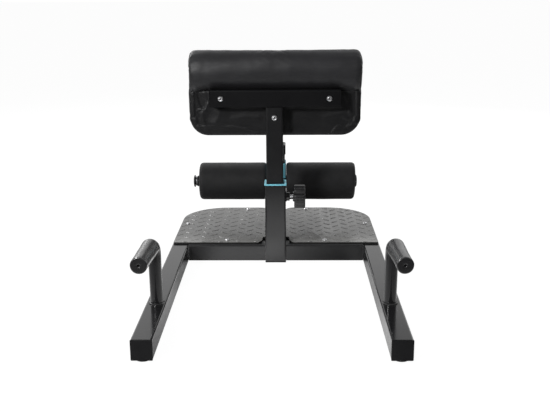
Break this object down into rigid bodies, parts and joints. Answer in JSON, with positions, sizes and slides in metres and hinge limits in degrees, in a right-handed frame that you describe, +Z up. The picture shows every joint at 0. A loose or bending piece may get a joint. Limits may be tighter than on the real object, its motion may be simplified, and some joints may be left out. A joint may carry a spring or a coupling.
{
  "type": "squat machine",
  "caption": "Floor-standing squat trainer: foot plates on a tube frame, ankle rollers on a sliding carriage, a height-adjustable rolled-top calf pad and push-up handles at the rear.",
  "frame": {"origin": "centre of the bounding box in plan, on the floor under the rubber feet", "axes": "+Z up, +Y from the push-up handles towards the toes, +X to the right when seen from the handles' end"},
  "size_m": [0.5112, 0.897, 0.5088],
  "materials": {
    "frame_paint": "satin",
    "plate_paint": "satin",
    "black_plastic": "matte",
    "foot_rubber": "matte",
    "blue_plastic": "satin",
    "pad_vinyl": "satin",
    "black_foam": "matte",
    "zinc_steel": "satin",
    "axle_steel": "satin"
  },
  "bodies": {
    "base": {"rail_left": "frame_paint", "rail_right": "frame_paint", "rail_plug_rear_left": "black_plastic", "rail_plug_rear_right": "black_plastic", "rail_plug_front_left": "black_plastic", "rail_plug_front_right": "black_plastic", "foot_rail_left": "foot_rubber", "foot_rail_right": "foot_rubber", "foot_front_left": "foot_rubber", "foot_front_right": "foot_rubber", "crossbar_rear_left": "frame_paint", "crossbar_rear_right": "frame_paint", "centre_beam": "frame_paint", "crossbar_front": "frame_paint", "crossbar_plug_left": "black_plastic", "crossbar_plug_right": "black_plastic", "foot_plate_left": "plate_paint", "foot_plate_right": "plate_paint", "plate_screw_rail_left": "zinc_steel", "plate_screw_rail_right": "zinc_steel", "plate_screw_rear_left": "zinc_steel", "plate_screw_rear_right": "zinc_steel", "plate_screw_front_left": "zinc_steel", "plate_screw_front_right": "zinc_steel", "handle_left": "frame_paint", "handle_right": "frame_paint", "grip_left": "black_foam", "grip_right": "black_foam", "post_outer": "frame_paint", "post_plug": "black_plastic", "post_bushing": "blue_plastic", "pad_lock_boss": "frame_paint", "upright": "frame_paint", "upright_cap": "black_plastic"},
    "pad_carriage": {"post_inner": "frame_paint", "post_inner_plug": "black_plastic", "pad_crossbar": "frame_paint", "pad_crossbar_plug_left": "black_plastic", "pad_crossbar_plug_right": "black_plastic", "pad_board": "pad_vinyl", "pad_bolt_left": "zinc_steel", "pad_bolt_right": "zinc_steel", "pad_bolt_post": "zinc_steel", "pad_cushion": "pad_vinyl"},
    "pad_lock_stem": {"pad_lock_screw": "zinc_steel"},
    "pad_lock_grip": {"pad_lock_knob": "black_plastic"},
    "roller_carriage": {"carriage_sleeve": "frame_paint", "carriage_collar": "blue_plastic", "axle_left": "axle_steel", "axle_right": "axle_steel", "axle_plug_left": "black_plastic", "axle_plug_right": "black_plastic", "roller_lock_boss": "frame_paint"},
    "roller_lock_stem": {"roller_lock_screw": "zinc_steel"},
    "roller_lock_grip": {"roller_lock_knob": "black_plastic"},
    "roller_left": {"roller_foam_left": "black_foam", "roller_core_left": "black_plastic"},
    "roller_right": {"roller_foam_right": "black_foam", "roller_core_right": "black_plastic"}
  },
  "joints": [
    {"name": "pad_height", "type": "slide", "parent": "base", "child": "pad_carriage", "axis": [0, 0, 1], "range_m": [-0.065, 0.05]},
    {"name": "roller_height", "type": "slide", "parent": "base", "child": "roller_carriage", "axis": [0, 0, 1], "range_m": [-0.045, 0.018]},
    {"name": "roller_spin_left", "type": "hinge", "parent": "roller_carriage", "child": "roller_left", "pos_m": [-0.11665, 0.3295, 0.1533], "axis": [1, 0, 0], "continuous": true},
    {"name": "roller_spin_right", "type": "hinge", "parent": "roller_carriage", "child": "roller_right", "pos_m": [0.11665, 0.3295, 0.1533], "axis": [1, 0, 0], "continuous": true},
    {"name": "pad_lock_travel", "type": "slide", "parent": "base", "child": "pad_lock_stem", "axis": [1, 0, 0], "range_m": [0, 0.0061]},
    {"name": "pad_lock_turn", "type": "hinge", "parent": "pad_lock_stem", "child": "pad_lock_grip", "pos_m": [0.025, 0.1295, 0.161], "axis": [1, 0, 0], "range_deg": [0, 1080]},
    {"name": "roller_lock_travel", "type": "slide", "parent": "roller_carriage", "child": "roller_lock_stem", "axis": [0, 1, 0], "range_m": [0, 0.0061]},
    {"name": "roller_lock_turn", "type": "hinge", "parent": "roller_lock_stem", "child": "roller_lock_grip", "pos_m": [0, 0.3545, 0.134], "axis": [0, 1, 0], "range_deg": [0, 1080]}
  ],
  "couplings": [
    {"joint": "pad_lock_travel", "follows": "pad_lock_turn", "m_per_rad": 0.00031831},
    {"joint": "roller_lock_travel", "follows": "roller_lock_turn", "m_per_rad": 0.00031831}
  ]
}
